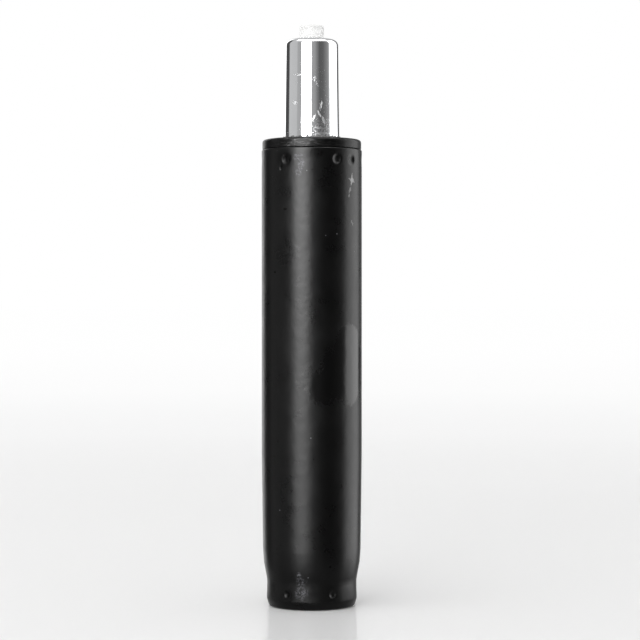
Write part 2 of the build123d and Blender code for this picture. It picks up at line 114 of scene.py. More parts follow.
studioSettings = {
    "fill": 0.74,
    # a ramp's stops are a place and the level there. Round the axis the place is an angle.
    "panels": {
        "top": 5.0,
        "stops": [
            # the left rim's strip and flag, then the grey left side
            (-180, 0.82), (-166, 0.82), (-157, 2.0), (-145, 2.0), (-140, 0.08), (-113, 0.08), (-108, 0.66),
            (-66, 0.62), (-62, 0.48), (-44, 0.44), (-1, 0.45),
            # the dark flag right of the camera, the bright panel on the right, and its flag
            (14, 0.38), (20, 0.28), (34, 0.12), (50, 0.14), (74, 0.33), (81, 0.7), (88, 4.2), (112, 4.2),
            (132, 2.4), (138, 0.12), (156, 0.12), (160, 0.82), (180, 0.82),
        ],
    },
    # the tall panel left of the camera, weak under the horizon
    "key": {
        "top": 23.0,
        "stops": [
            (-180, 0), (-45, 0), (-43.5, 1), (-41, 9), (-37, 19), (-30, 23.5), (-19, 23), (-10, 15), (-4, 4),
            (-1, 0), (180, 0),
        ],
    },
    # by the sine of the elevation: the share of that panel, and the level overhead
    "keyFall": {"top": 1.2, "stops": [(-1, 0.3), (-0.35, 0.3), (-0.12, 0.1), (0.03, 0.72), (0.2, 1.2), (1, 1.2)]},
    # the ceiling comes in between two sines, and turns over to one level behind the part
    "overhead": {
        "from": (0.58, 0.72), "top": 9.0, "behind": 0.62, "turnover": 0.1,
        "stops": [(-1, 0.9), (0.72, 1.4), (0.8, 9), (0.9, 9), (0.95, 0.7), (1, 0.7)],
    },
    "lamps": [
        {"place": (-0.6, -1.8, 0.85), "size": 0.9, "power": 8},
        {"place": (-0.5, -0.6, 2.0), "size": 1.6, "power": 14},
    ],
    "lampTarget": (0, 0, 0.14),
}


def makeWorld(settings):
    world = bpy.data.worlds.new("studio")
    world.use_nodes = True
    scene.world = world
    tree = world.node_tree
    tree.nodes.clear()
    rays = addNode(tree, "ShaderNodeLightPath")
    coords = addNode(tree, "ShaderNodeTexCoord")
    direction = addNode(tree, "ShaderNodeSeparateXYZ", {0: coords.outputs["Generated"]})
    ahead = addNode(tree, "ShaderNodeMath", {0: direction.outputs["Y"], 1: -1.0}, operation="MULTIPLY")
    angle = addNode(tree, "ShaderNodeMath", {0: direction.outputs["X"], 1: ahead}, operation="ARCTAN2")
    around = addNode(tree, "ShaderNodeMapRange", {"Value": angle, "From Min": -pi, "From Max": pi})
    rise = addNode(tree, "ShaderNodeMath", {0: direction.outputs["Z"], 1: 0.5, 2: 0.5}, operation="MULTIPLY_ADD")
    levels = {}
    ramps = (("panels", around, 180), ("key", around, 180), ("keyFall", rise, 1), ("overhead", rise, 1))
    for name, along, reach in ramps:
        part = settings[name]
        ramp = addNode(tree, "ShaderNodeValToRGB", {0: along})
        setRamp(ramp, [((spot / reach + 1) / 2, level / part["top"]) for spot, level in part["stops"]])
        levels[name] = addNode(tree, "ShaderNodeMath", {0: ramp, 1: part["top"]}, operation="MULTIPLY")
    walls = addNode(
        tree, "ShaderNodeMath", {0: levels["key"], 1: levels["keyFall"], 2: levels["panels"]},
        operation="MULTIPLY_ADD",
    )
    roof = settings["overhead"]
    turnover = roof["turnover"]
    front = addNode(tree, "ShaderNodeMapRange", {"Value": ahead, "From Min": -turnover, "From Max": turnover})
    overhead = addNode(
        tree, "ShaderNodeMix", {0: front, 2: roof["behind"], 3: levels["overhead"]}, data_type="FLOAT"
    )
    low, high = roof["from"]
    above = addNode(tree, "ShaderNodeMapRange", {"Value": direction.outputs["Z"], "From Min": low, "From Max": high})
    gloss = addNode(tree, "ShaderNodeMix", {0: above, 2: walls, 3: overhead}, data_type="FLOAT")
    seen = addNode(
        tree, "ShaderNodeMath",
        {0: rays.outputs["Is Camera Ray"], 1: rays.outputs["Is Transmission Ray"]}, operation="MAXIMUM",
    )
    plain = addNode(tree, "ShaderNodeMix", {0: seen, 2: settings["fill"], 3: 1.0}, data_type="FLOAT")
    strength = addNode(
        tree, "ShaderNodeMix", {0: rays.outputs["Is Glossy Ray"], 2: plain, 3: gloss}, data_type="FLOAT"
    )
    background = addNode(tree, "ShaderNodeBackground", {"Color": (1, 1, 1, 1), "Strength": strength})
    addNode(tree, "ShaderNodeOutputWorld", {"Surface": background})


def makeLamps(settings):
    for number, lamp in enumerate(settings["lamps"]):
        data = bpy.data.lights.new(f"lamp{number}", "AREA")
        data.shape = "DISK"
        data.size = lamp["size"]
        data.energy = lamp["power"]
        light = bpy.data.objects.new(f"lamp{number}", data)
        light.location = lamp["place"]
        look = Vector(settings["lampTarget"]) - Vector(lamp["place"])
        light.rotation_euler = look.to_track_quat("-Z", "Y").to_euler()
        light.visible_glossy = False
        light.visible_camera = False
        scene.collection.objects.link(light)


floorSettings = {
    "height": -0.0002,
    "size": 60.0,
    "colour": "#ebebeb",
    # the object mirrored in the floor: a faint sharp image over a wide soft one
    "sharp": {"share": 0.18, "roughness": 0.1},
    "soft": {"share": 0.23, "roughness": 0.42},
    # distance from the object in metres, and how much of the floor is plain white there
    "fade": [(0.0, 0.0), (0.3, 0.0), (0.7, 0.2), (1.3, 0.6), (2.4, 0.92), (5.0, 1.0)],
    # gloss on the object sees the floor at this level, which fades out between two distances
    "mirrored": 0.45,
    "mirroredReach": (0.04, 0.15),
}


def makeFloor(settings):
    mesh = bpy.data.meshes.new("floor")
    half = settings["size"] / 2
    low = settings["height"]
    corners = [(-half, -half, low), (half, -half, low), (half, half, low), (-half, half, low)]
    mesh.from_pydata(corners, [], [(0, 1, 2, 3)])
    floor = bpy.data.objects.new("floor", mesh)
    scene.collection.objects.link(floor)
    floor.visible_diffuse = False
    material = bpy.data.materials.new("paleFloor")
    material.use_nodes = True
    tree = material.node_tree
    tree.nodes.clear()
    coords = addNode(tree, "ShaderNodeTexCoord")
    rays = addNode(tree, "ShaderNodeLightPath")
    distance = addNode(tree, "ShaderNodeVectorMath", {0: coords.outputs["Object"]}, operation="LENGTH")
    reach = settings["fade"][-1][0]
    place = addNode(tree, "ShaderNodeMath", {0: distance.outputs["Value"], 1: reach}, operation="DIVIDE")
    ramp = addNode(tree, "ShaderNodeValToRGB", {0: place})
    setRamp(ramp, [(metres / reach, level) for metres, level in settings["fade"]], "B_SPLINE")
    plain = addNode(tree, "ShaderNodeBsdfDiffuse", {"Color": toLinear(settings["colour"])})
    for kind in ("soft", "sharp"):
        sheen = addNode(
            tree, "ShaderNodeBsdfGlossy", {"Color": (1, 1, 1, 1), "Roughness": settings[kind]["roughness"]},
            distribution="GGX",
        )
        plain = addNode(tree, "ShaderNodeMixShader", {0: settings[kind]["share"], 1: plain, 2: sheen})
    white = addNode(tree, "ShaderNodeEmission", {"Color": (1, 1, 1, 1), "Strength": 1.0})
    surface = addNode(tree, "ShaderNodeMixShader", {0: ramp, 1: plain, 2: white})
    glow = addNode(tree, "ShaderNodeEmission", {"Color": (1, 1, 1, 1), "Strength": settings["mirrored"]})
    clear = addNode(tree, "ShaderNodeBsdfTransparent")
    near, far = settings["mirroredReach"]
    beyond = addNode(
        tree, "ShaderNodeMapRange", {"Value": distance.outputs["Value"], "From Min": near, "From Max": far}
    )
    mirrored = addNode(tree, "ShaderNodeMixShader", {0: beyond, 1: glow, 2: clear})
    bounced = addNode(
        tree, "ShaderNodeMath",
        {0: rays.outputs["Is Glossy Ray"], 1: rays.outputs["Is Transmission Ray"]}, operation="MAXIMUM",
    )
    above = addNode(tree, "ShaderNodeMixShader", {0: bounced, 1: surface, 2: mirrored})
    side = addNode(tree, "ShaderNodeNewGeometry")
    shown = addNode(tree, "ShaderNodeMixShader", {0: side.outputs["Backfacing"], 1: above, 2: clear})
    addNode(tree, "ShaderNodeOutputMaterial", {"Surface": shown})
    mesh.materials.append(material)


makeWorld(studioSettings)
makeLamps(studioSettings)
makeFloor(floorSettings)
scene.view_settings.view_transform = "Standard"
print("studio made")

# Geometry Nodes: a lathe, a ring of equal parts, a row of punched dimples, and a ragged edge


def newTree(name, inputs):
    # inputs: name to socket type, between the geometry and the material
    tree = bpy.data.node_groups.new(name, "GeometryNodeTree")
    for key, kind in {"Geometry": "Geometry", **inputs, "Material": "Material"}.items():
        tree.interface.new_socket(key, in_out="INPUT", socket_type=f"NodeSocket{kind}")
    tree.interface.new_socket("Geometry", in_out="OUTPUT", socket_type="NodeSocketGeometry")
    return tree, addNode(tree, "NodeGroupInput").outputs


def endTree(tree, geometry, material):
    real = addNode(tree, "GeometryNodeRealizeInstances", {0: geometry})
    dressed = addNode(tree, "GeometryNodeSetMaterial", {"Geometry": real, "Material": material})
    addNode(tree, "NodeGroupOutput", {0: dressed})
    return tree


def pointAt(tree, turn, radius, height):
    # the point at an angle from the front, a radius and a height
    side = addNode(tree, "ShaderNodeMath", {0: turn}, operation="SINE")
    front = addNode(tree, "ShaderNodeMath", {0: turn}, operation="COSINE")
    front = addNode(tree, "ShaderNodeMath", {0: front, 1: -1.0}, operation="MULTIPLY")
    out = addNode(tree, "ShaderNodeCombineXYZ", {"X": side, "Y": front})
    out = addNode(tree, "ShaderNodeVectorMath", {0: out, "Scale": radius}, operation="SCALE")
    up = addNode(tree, "ShaderNodeCombineXYZ", {"Z": height})
    return addNode(tree, "ShaderNodeVectorMath", {0: out, 1: up}, operation="ADD")


def makeLatheTree():
    # Turns the object's own points, an outline of radius (X) and height (Z), round the Z axis
    tree, given = newTree("lathe", {"Segments": "Int", "Sharp Angle": "Float", "Merge": "Float"})
    outline = given["Geometry"]
    count = addNode(tree, "GeometryNodeAttributeDomainSize", {0: outline}, component="MESH").outputs["Point Count"]
    columns = addNode(tree, "ShaderNodeMath", {0: given["Segments"], 1: 1.0}, operation="ADD")
    grid = addNode(tree, "GeometryNodeMeshGrid", {"Vertices X": count, "Vertices Y": columns})
    index = addNode(tree, "GeometryNodeInputIndex")
    row = addNode(tree, "ShaderNodeMath", {0: index, 1: columns}, operation="DIVIDE")
    row = addNode(tree, "ShaderNodeMath", {0: row}, operation="FLOOR")
    column = addNode(tree, "ShaderNodeMath", {0: index, 1: columns}, operation="MODULO")
    turn = addNode(tree, "ShaderNodeMath", {0: column, 1: given["Segments"]}, operation="DIVIDE")
    turn = addNode(tree, "ShaderNodeMath", {0: turn, 1: 2 * pi}, operation="MULTIPLY")
    place = addNode(tree, "GeometryNodeInputPosition")
    sample = addNode(
        tree, "GeometryNodeSampleIndex", {"Geometry": outline, "Value": place, "Index": row},
        data_type="FLOAT_VECTOR", domain="POINT",
    )
    corner = addNode(tree, "ShaderNodeSeparateXYZ", {0: sample}).outputs
    moved = pointAt(tree, turn, corner["X"], corner["Z"])
    turned = addNode(tree, "GeometryNodeSetPosition", {"Geometry": grid, "Position": moved})
    closed = addNode(tree, "GeometryNodeMergeByDistance", {"Geometry": turned, "Distance": given["Merge"]})
    smooth = addNode(tree, "GeometryNodeSetShadeSmooth", {"Geometry": closed, "Shade Smooth": True}, domain="FACE")
    bend = addNode(tree, "GeometryNodeInputMeshEdgeAngle").outputs["Unsigned Angle"]
    sharp = addNode(tree, "ShaderNodeMath", {0: bend, 1: given["Sharp Angle"]}, operation="GREATER_THAN")
    crisp = addNode(
        tree, "GeometryNodeSetShadeSmooth", {"Geometry": smooth, "Selection": sharp, "Shade Smooth": False},
        domain="EDGE",
    )
    return endTree(tree, crisp, given["Material"])


def makeRingTree():
    # Adds equal copies of a part, drawn at the front, round the Z axis
    tree, given = newTree("ringOfParts", {"Count": "Int", "Start Angle": "Float", "Part": "Object"})
    points = addNode(tree, "GeometryNodeMeshLine", {"Count": given["Count"], "Offset": (0.0, 0.0, 0.0)})
    index = addNode(tree, "GeometryNodeInputIndex")
    turn = addNode(tree, "ShaderNodeMath", {0: index, 1: given["Count"]}, operation="DIVIDE")
    turn = addNode(tree, "ShaderNodeMath", {0: turn, 1: 2 * pi, 2: given["Start Angle"]}, operation="MULTIPLY_ADD")
    turned = addNode(tree, "ShaderNodeCombineXYZ", {"Z": turn})
    part = addNode(tree, "GeometryNodeObjectInfo", {"Object": given["Part"]}).outputs["Geometry"]
    copies = addNode(tree, "GeometryNodeInstanceOnPoints", {"Points": points, "Instance": part, "Rotation": turned})
    both = addNode(tree, "GeometryNodeJoinGeometry")
    tree.links.new(given["Geometry"], both.inputs[0])
    tree.links.new(copies.outputs[0], both.inputs[0])
    return endTree(tree, both, given["Material"])


def makePunchTree():
    # Pushes a turned wall in with round punches, evenly spaced round it. The lip is rolled over.
    sizes = ("Start Angle", "Height", "Punch Radius", "Depth", "Surface Radius", "Wall", "Lip")
    tree, given = newTree("punchedRow", {"Count": "Int", **dict.fromkeys(sizes, "Float")})
    place = addNode(tree, "GeometryNodeInputPosition")
    axes = addNode(tree, "ShaderNodeSeparateXYZ", {0: place}).outputs
    ahead = addNode(tree, "ShaderNodeMath", {0: axes["Y"], 1: -1.0}, operation="MULTIPLY")
    turn = addNode(tree, "ShaderNodeMath", {0: axes["X"], 1: ahead}, operation="ARCTAN2")
    step = addNode(tree, "ShaderNodeMath", {0: 2 * pi, 1: given["Count"]}, operation="DIVIDE")
    nearest = addNode(tree, "ShaderNodeMath", {0: turn, 1: given["Start Angle"]}, operation="SUBTRACT")
    nearest = addNode(tree, "ShaderNodeMath", {0: nearest, 1: step}, operation="DIVIDE")
    nearest = addNode(tree, "ShaderNodeMath", {0: nearest}, operation="ROUND")
    nearest = addNode(
        tree, "ShaderNodeMath", {0: nearest, 1: step, 2: given["Start Angle"]}, operation="MULTIPLY_ADD"
    )
    out = addNode(tree, "ShaderNodeMath", {0: given["Surface Radius"], 1: given["Punch Radius"]}, operation="ADD")
    out = addNode(tree, "ShaderNodeMath", {0: out, 1: given["Depth"]}, operation="SUBTRACT")
    centre = pointAt(tree, nearest, out, given["Height"])
    arm = addNode(tree, "ShaderNodeVectorMath", {0: place, 1: centre}, operation="SUBTRACT")
    length = addNode(tree, "ShaderNodeVectorMath", {0: arm}, operation="LENGTH").outputs["Value"]
    flat = addNode(tree, "ShaderNodeCombineXYZ", {"X": axes["X"], "Y": axes["Y"]})
    radius = addNode(tree, "ShaderNodeVectorMath", {0: flat}, operation="LENGTH").outputs["Value"]
    # points on the wall's inner side are pushed clear of the punch by the wall
    middle = addNode(
        tree, "ShaderNodeMath", {0: given["Wall"], 1: -0.5, 2: given["Surface Radius"]}, operation="MULTIPLY_ADD"
    )
    inside = addNode(tree, "ShaderNodeMath", {0: radius, 1: middle}, operation="LESS_THAN")
    reach = addNode(
        tree, "ShaderNodeMath", {0: inside, 1: given["Wall"], 2: given["Punch Radius"]}, operation="MULTIPLY_ADD"
    )
    pushed = addNode(tree, "ShaderNodeMath", {0: length, 1: reach, 2: given["Lip"]}, operation="SMOOTH_MAX")
    scaleUp = addNode(tree, "ShaderNodeMath", {0: pushed, 1: length}, operation="DIVIDE")
    arm = addNode(tree, "ShaderNodeVectorMath", {0: arm, "Scale": scaleUp}, operation="SCALE")
    moved = addNode(tree, "ShaderNodeVectorMath", {0: centre, 1: arm}, operation="ADD")
    dented = addNode(tree, "GeometryNodeSetPosition", {"Geometry": given["Geometry"], "Position": moved})
    return endTree(tree, dented, given["Material"])


def makeRaggedTree():
    # Lifts the upper part of a bead by a noise that runs round it, above the noise's middle values only
    tree, given = newTree("raggedBead", dict.fromkeys(("Foot", "Rise", "Spacing"), "Float"))
    place = addNode(tree, "GeometryNodeInputPosition")
    axes = addNode(tree, "ShaderNodeSeparateXYZ", {0: place}).outputs
    flat = addNode(tree, "ShaderNodeCombineXYZ", {"X": axes["X"], "Y": axes["Y"]})
    scale = addNode(tree, "ShaderNodeMath", {0: 1.0, 1: given["Spacing"]}, operation="DIVIDE")
    noise = addNode(tree, "ShaderNodeTexNoise", {"Vector": flat, "Scale": scale, "Detail": 3.0, "Roughness": 0.6})
    lift = addNode(tree, "ShaderNodeMapRange", {"Value": noise, "From Min": 0.4, "From Max": 0.68})
    high = addNode(tree, "ShaderNodeMath", {0: axes["Z"], 1: given["Foot"]}, operation="GREATER_THAN")
    lift = addNode(tree, "ShaderNodeMath", {0: lift, 1: high}, operation="MULTIPLY")
    lift = addNode(tree, "ShaderNodeMath", {0: lift, 1: given["Rise"]}, operation="MULTIPLY")
    offset = addNode(tree, "ShaderNodeCombineXYZ", {"Z": lift})
    moved = addNode(tree, "GeometryNodeSetPosition", {"Geometry": given["Geometry"], "Offset": offset})
    return endTree(tree, moved, given["Material"])


latheTree = makeLatheTree()
ringTree = makeRingTree()
punchTree = makePunchTree()
raggedTree = makeRaggedTree()
print("node trees made")


def addTree(piece, tree, **inputs):
    # inputs are named as in the tree, with underscores for blanks
    modifier = piece.modifiers.new(tree.name, "NODES")
    modifier.node_group = tree
    for item in tree.interface.items_tree:
        key = item.name.replace(" ", "_")
        if item.in_out == "INPUT" and key in inputs:
            modifier[item.identifier] = inputs[key]


mergeSizes = {"turned": 0.001, "finished": 0.0005}  # points nearer than this become one


def makePlain(piece):
    # the evaluated shape becomes the piece's own mesh, closed and with its faces outwards
    view = bpy.context.evaluated_depsgraph_get()
    mesh = bpy.data.meshes.new_from_object(piece.evaluated_get(view), preserve_all_data_layers=True, depsgraph=view)
    piece.modifiers.clear()
    piece.data = mesh
    shape = bmesh.new()
    shape.from_mesh(mesh)
    bmesh.ops.remove_doubles(shape, verts=shape.verts, dist=mergeSizes["finished"] * mm)
    bmesh.ops.recalc_face_normals(shape, faces=shape.faces)
    shape.to_mesh(mesh)
    shape.free()
    mesh.name = piece.name


def newPiece(name, points, material):
    mesh = bpy.data.meshes.new(name)
    mesh.from_pydata([(radius * mm, 0, height * mm) for radius, height in points], [], [])
    mesh.materials.append(material)
    piece = bpy.data.objects.new(name, mesh)
    scene.collection.objects.link(piece)
    return piece


def roundedOutline(corners, closed, arcStep, support=0.12):
    # corners: (radius, height) or (radius, height, round). Support points beside a round keep its shine narrow.
    spots = [Vector(corner[:2]) for corner in corners]
    rounds = [corner[2] if len(corner) > 2 else 0 for corner in corners]
    points = []
    for number, here in enumerate(spots):
        if rounds[number] == 0:
            points.append(here)
            continue
        before = spots[number - 1] - here
        after = spots[(number + 1) % len(spots)] - here
        half = before.angle(after) / 2
        reach = rounds[number] / tan(half)
        outer = [
            here + arm.normalized() * (reach + min(support, (arm.length - reach) / 3)) for arm in (before, after)
        ]
        centre = here + (before.normalized() + after.normalized()).normalized() * rounds[number] / sin(half)
        first = here + before.normalized() * reach - centre
        last = here + after.normalized() * reach - centre
        turn = pi - 2 * half
        steps = max(2, ceil(turn / radians(arcStep)))
        points.append(outer[0])
        for step in range(steps + 1):
            share = step / steps
            points.append(centre + (first * sin((1 - share) * turn) + last * sin(share * turn)) / sin(turn))
        points.append(outer[1])
    if closed:
        points.append(points[0])
    return points


def divided(points, zones, spacing):
    # short steps along an outline where its height lies in one of the zones (low, high)
    result = [points[0]]
    for start, end in zip(points, points[1:]):
        marks = {1.0}
        rise = end.y - start.y
        for low, high in zones:
            if abs(rise) > spacing:
                ends = sorted([(low - start.y) / rise, (high - start.y) / rise])
                ends = [min(max(mark, 0.0), 1.0) for mark in ends]
                steps = ceil((ends[1] - ends[0]) * abs(rise) / spacing)
                marks.update(ends[0] + (ends[1] - ends[0]) * step / max(steps, 1) for step in range(steps + 1))
        result += [start.lerp(end, mark) for mark in sorted(marks) if mark > 1e-6]
    return result


turningDefaults = {"arcStep": 9, "fineZones": [], "fineSpacing": 1, "sharpAngle": 35}


def turnedPiece(name, settings, material):
    # a closed outline is a ring; an open one starts and ends on the axis
    turning = {**turningDefaults, **settings}
    closed = turning["corners"][0][0] > 0
    points = roundedOutline(turning["corners"], closed, turning["arcStep"])
    points = divided(points, turning["fineZones"], turning["fineSpacing"])
    piece = newPiece(name, points, material)
    addTree(
        piece, latheTree, Segments=turning["segments"], Sharp_Angle=radians(turning["sharpAngle"]),
        Merge=mergeSizes["turned"] * mm, Material=material,
    )
    return piece


def place(piece, settings):
    # the finished piece rides on its body and stands for its node, which it hides
    makePlain(piece)
    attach(piece, settings["body"])
    if "node" in settings:
        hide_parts(settings["node"])
    print(f"{piece.name}: {sum(len(face.vertices) - 2 for face in piece.data.polygons)} triangles")


# Materials

noiseSpan = {"From Min": 0.3, "From Max": 0.7}  # nearly all values of a noise texture lie in here


def newMaterial(name, patterns, **sockets):
    # patterns are noises: size in mm, detail, break-up, and how they are squeezed along Z. Sockets are the
    # shader's plain values, with underscores for blanks.
    material = bpy.data.materials.new(name)
    material.use_nodes = True
    tree = material.node_tree
    shader = tree.nodes["Principled BSDF"]
    for key, value in sockets.items():
        shader.inputs[key.replace("_", " ")].default_value = value
    coords = addNode(tree, "ShaderNodeTexCoord").outputs["Object"]
    noises = {}
    for key, (size, detail, breakUp, *squeeze) in patterns.items():
        at = coords
        if squeeze:
            at = addNode(tree, "ShaderNodeMapping", {"Vector": coords, "Scale": (1.0, 1.0, squeeze[0])})
        noises[key] = addNode(
            tree, "ShaderNodeTexNoise",
            {"Vector": at, "Scale": perMetre(size), "Detail": detail, "Roughness": breakUp},
        )
    return material, coords, noises


def mottle(tree, settings, colourBy, roughBy):
    # the first factor moves the colour and the second one the roughness between two values
    dark, light = settings["colours"]
    colour = addNode(tree, "ShaderNodeMix", {0: colourBy, 6: toLinear(dark), 7: toLinear(light)}, data_type="RGBA")
    start, end = settings["roughness"]
    rough = addNode(tree, "ShaderNodeMapRange", {"Value": roughBy, **noiseSpan, "To Min": start, "To Max": end})
    return colour, rough


def endMaterial(material, colour, rough, height, relief):
    # relief is the strength of the height and its depth in mm
    tree = material.node_tree
    strength, depth = relief
    bump = addNode(tree, "ShaderNodeBump", {"Height": height, "Strength": strength, "Distance": depth * mm})
    inputs = tree.nodes["Principled BSDF"].inputs
    tree.links.new(colour.outputs[2], inputs["Base Color"])
    tree.links.new(rough.outputs[0], inputs["Roughness"])
    tree.links.new(bump.outputs[0], inputs["Normal"])
    return material


def markMask(tree, coords, radius, angle, height, wide, high, ragged, grain, tilt=0, deep=None, soft=0.15, level=1.0):
    # level inside an ellipse on a turned wall and 0 outside it. Wide, high and deep are halves, and deep is
    # towards the axis. The edge is ragged by a noise, grain mm apart, and soft by a share of the half.
    turn = radians(angle)
    middle = (radius * sin(turn) * mm, -radius * cos(turn) * mm, height * mm)
    local = addNode(
        tree, "ShaderNodeMapping",
        {"Vector": coords, "Location": middle, "Rotation": (0, radians(tilt), turn),
         "Scale": (wide * mm, (deep or 3 * wide) * mm, high * mm)},
        vector_type="TEXTURE",
    )
    distance = addNode(tree, "ShaderNodeVectorMath", {0: local}, operation="LENGTH").outputs["Value"]
    noise = addNode(
        tree, "ShaderNodeTexNoise", {"Vector": coords, "Scale": perMetre(grain), "Detail": 3.0, "Roughness": 0.6}
    )
    edge = addNode(tree, "ShaderNodeMath", {0: noise, 1: ragged * 2, 2: -ragged}, operation="MULTIPLY_ADD")
    edge = addNode(tree, "ShaderNodeMath", {0: distance, 1: edge}, operation="ADD")
    return addNode(
        tree, "ShaderNodeMapRange", {"Value": edge, "From Min": 1 + soft, "From Max": 1 - soft, "To Max": level}
    )


def groupMask(tree, coords, radius, group):
    # group: what its marks have in common, then a row for each: angle, height, wide, high, and what differs
    common, *rows = group
    joined = None
    for angle, height, wide, high, own in rows:
        mask = markMask(tree, coords, radius, angle, height, wide, high, **{**common, **own})
        if joined is not None:
            mask = addNode(tree, "ShaderNodeMath", {0: joined, 1: mask}, operation="MAXIMUM")
        joined = mask
    return joined


powderSettings = {
    "colours": ("#040404", "#090909"),
    "roughness": (0.245, 0.365),
    # the real peel is 0.3 mm apart; drawn at 0.8 mm so that it shows
    "patterns": {
        "clouds": (14, 6.0, 0.72), "specks": (1.0, 3.0, 0.7), "peel": (0.8, 2.0, 0.5), "waves": (6, 2.0, 0.5),
    },
    "worn": "#a6a6a6",
    # grey of the real dust specks and of the specks painted where the key highlight falls
    "dustAndGlintGrey": "#737377",
    "knocked": "#050505",
    "rubbedRoughness": 0.165,
    "markedRoughness": 0.55,
    # the coat's reflection, clean, rubbed and dulled
    "specular": 0.17,
    "rubbedSpecular": 0.24,
    "dullSpecular": 0.02,
    # where the specks' noise starts to show, and shows fully
    "speckSpan": (0.46, 0.7),
    # dust in the coat: spacing, radius of a speck and of its core, and share of the places with none
    "dust": {"spacing": 7.0, "radius": 0.055, "core": 0.02, "none": 0.55},
    "peelRubbedOff": 0.8,
    # height in peels: slow waves, which make the edge of a highlight wander, and depth of a knock
    "waveHeight": 6.0,
    "knockDepth": 6.0,
    "relief": (0.35, 0.05),
    "radius": 25,
    # scuffs that took the black off
    "scuffs": [
        {"tilt": 20, "ragged": 0.7, "grain": 0.6},
        (52.6, 211.2, 1.3, 1.2, {"tilt": 12, "grain": 0.9}),
        (52.0, 211.6, 0.6, 2.9, {"tilt": 8, "level": 0.85}),
        (52.6, 211.0, 2.4, 0.5, {"level": 0.7}),
        (49.0, 206.4, 0.6, 1.6, {"ragged": 0.9, "grain": 0.7, "level": 0.5}),
        (47.5, 203.6, 0.5, 0.8, {"ragged": 0.9, "grain": 0.7, "level": 0.4}),
        (53.0, 190.1, 0.5, 1.5, {"tilt": -30, "ragged": 0.9, "level": 0.4}),
        (-38.0, 216.5, 0.5, 0.8, {"tilt": 10, "ragged": 0.8, "grain": 0.5, "level": 0.15}),
    ],
    # where the coat is rubbed smooth
    "rubbed": [
        {"deep": 12, "grain": 1.6, "soft": 0.3},
        (49, 120.5, 10.5, 20, {"deep": 40, "ragged": 0.3, "grain": 4.0, "soft": 0.06}),
        (27, 115, 6.5, 11, {"tilt": -6, "ragged": 0.6}),
        (12, 109.5, 6.5, 7.5, {"ragged": 0.7}),
    ],
    # patches of fine light specks painted into the coat's colour where the key highlight falls, at the top and at the
    # foot: painted highlight glitter
    "speckled": [
        {"ragged": 0.8, "grain": 1.6, "soft": 0.3},
        (-14, 222.0, 2.6, 1.6, {}),
        (-12, 218.6, 1.7, 2.8, {"ragged": 0.9}),
        (-15, 214.4, 1.6, 1.5, {"grain": 1.4}),
        (-12.5, 8.6, 3.4, 3.0, {"ragged": 0.6, "grain": 2.0, "deep": 12}),
        (-15.5, 17.5, 1.2, 1.6, {"grain": 1.0, "deep": 12}),
        (-13.5, 13.6, 2.2, 3.0, {"ragged": 0.9, "grain": 1.4, "soft": 0.4, "deep": 12, "level": 0.7}),
    ],
    # grime that takes the coat's shine
    "dulled": [
        {"ragged": 0.2, "grain": 1.5, "soft": 0.5},
        (-31.0, 221.3, 4.0, 4.0, {"ragged": 0.3, "grain": 2.0, "level": 0.55}),
        (-32.5, 221.5, 1.9, 2.2, {"level": 0.95}),
        (-32.6, 7.2, 2.2, 2.0, {"soft": 0.4, "level": 0.85}),
        (-14.0, 8.0, 7.5, 5.0, {"deep": 14, "ragged": 0.4, "grain": 3.0, "soft": 0.3, "level": 0.5}),
        (4.0, 224.0, 4.0, 2.4, {"ragged": 0.6, "grain": 3.0, "soft": 0.4, "level": 0.4}),
    ],
    # knocks that left a dark mark
    "knocks": [
        {"ragged": 0.5, "grain": 0.7},
        (-31.5, 196.7, 1.2, 0.5, {}),
        (-26.8, 220.6, 0.6, 0.9, {}),
        (-36.5, 217.6, 0.8, 1.1, {}),
        (-46.0, 165.9, 0.7, 0.6, {"tilt": 20}),
        (22.5, 21.6, 0.7, 0.7, {}),
        (20.0, 208.0, 1.0, 0.5, {"tilt": 10}),
    ],
}


